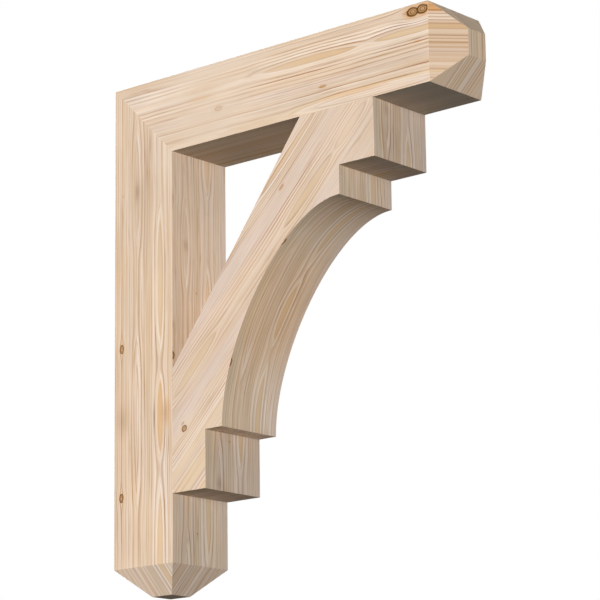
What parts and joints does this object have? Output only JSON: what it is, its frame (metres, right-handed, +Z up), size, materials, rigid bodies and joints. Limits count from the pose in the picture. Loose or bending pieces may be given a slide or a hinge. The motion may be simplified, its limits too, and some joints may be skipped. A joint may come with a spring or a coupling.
{
  "type": "wooden corbel bracket",
  "caption": "Bare timber eave bracket: a post and a beam mitred at the wall, with tapered ends and a brace with a stepped head, a hollow arch and a stepped foot.",
  "frame": {"origin": "middle of the post's flat wall face, which is the mount that holds the bracket up", "axes": "+Z up, towards the soffit face; +Y into the wall, so the beam's nose points along -Y; X across the bracket, which is the same on both sides of X = 0"},
  "size_m": [0.1396, 0.762, 0.9144],
  "materials": {
    "post": "bare planed softwood, upright grain, small tight knots, matt",
    "beam": "bare planed softwood, level grain, a pair of dark knots by the nose, matt",
    "brace": "bare sawn and sanded softwood, grain along its straight back edge, matt"
  },
  "bodies": {
    "root": {"post": "post", "beam": "beam", "brace": "brace"}
  },
  "joints": []
}
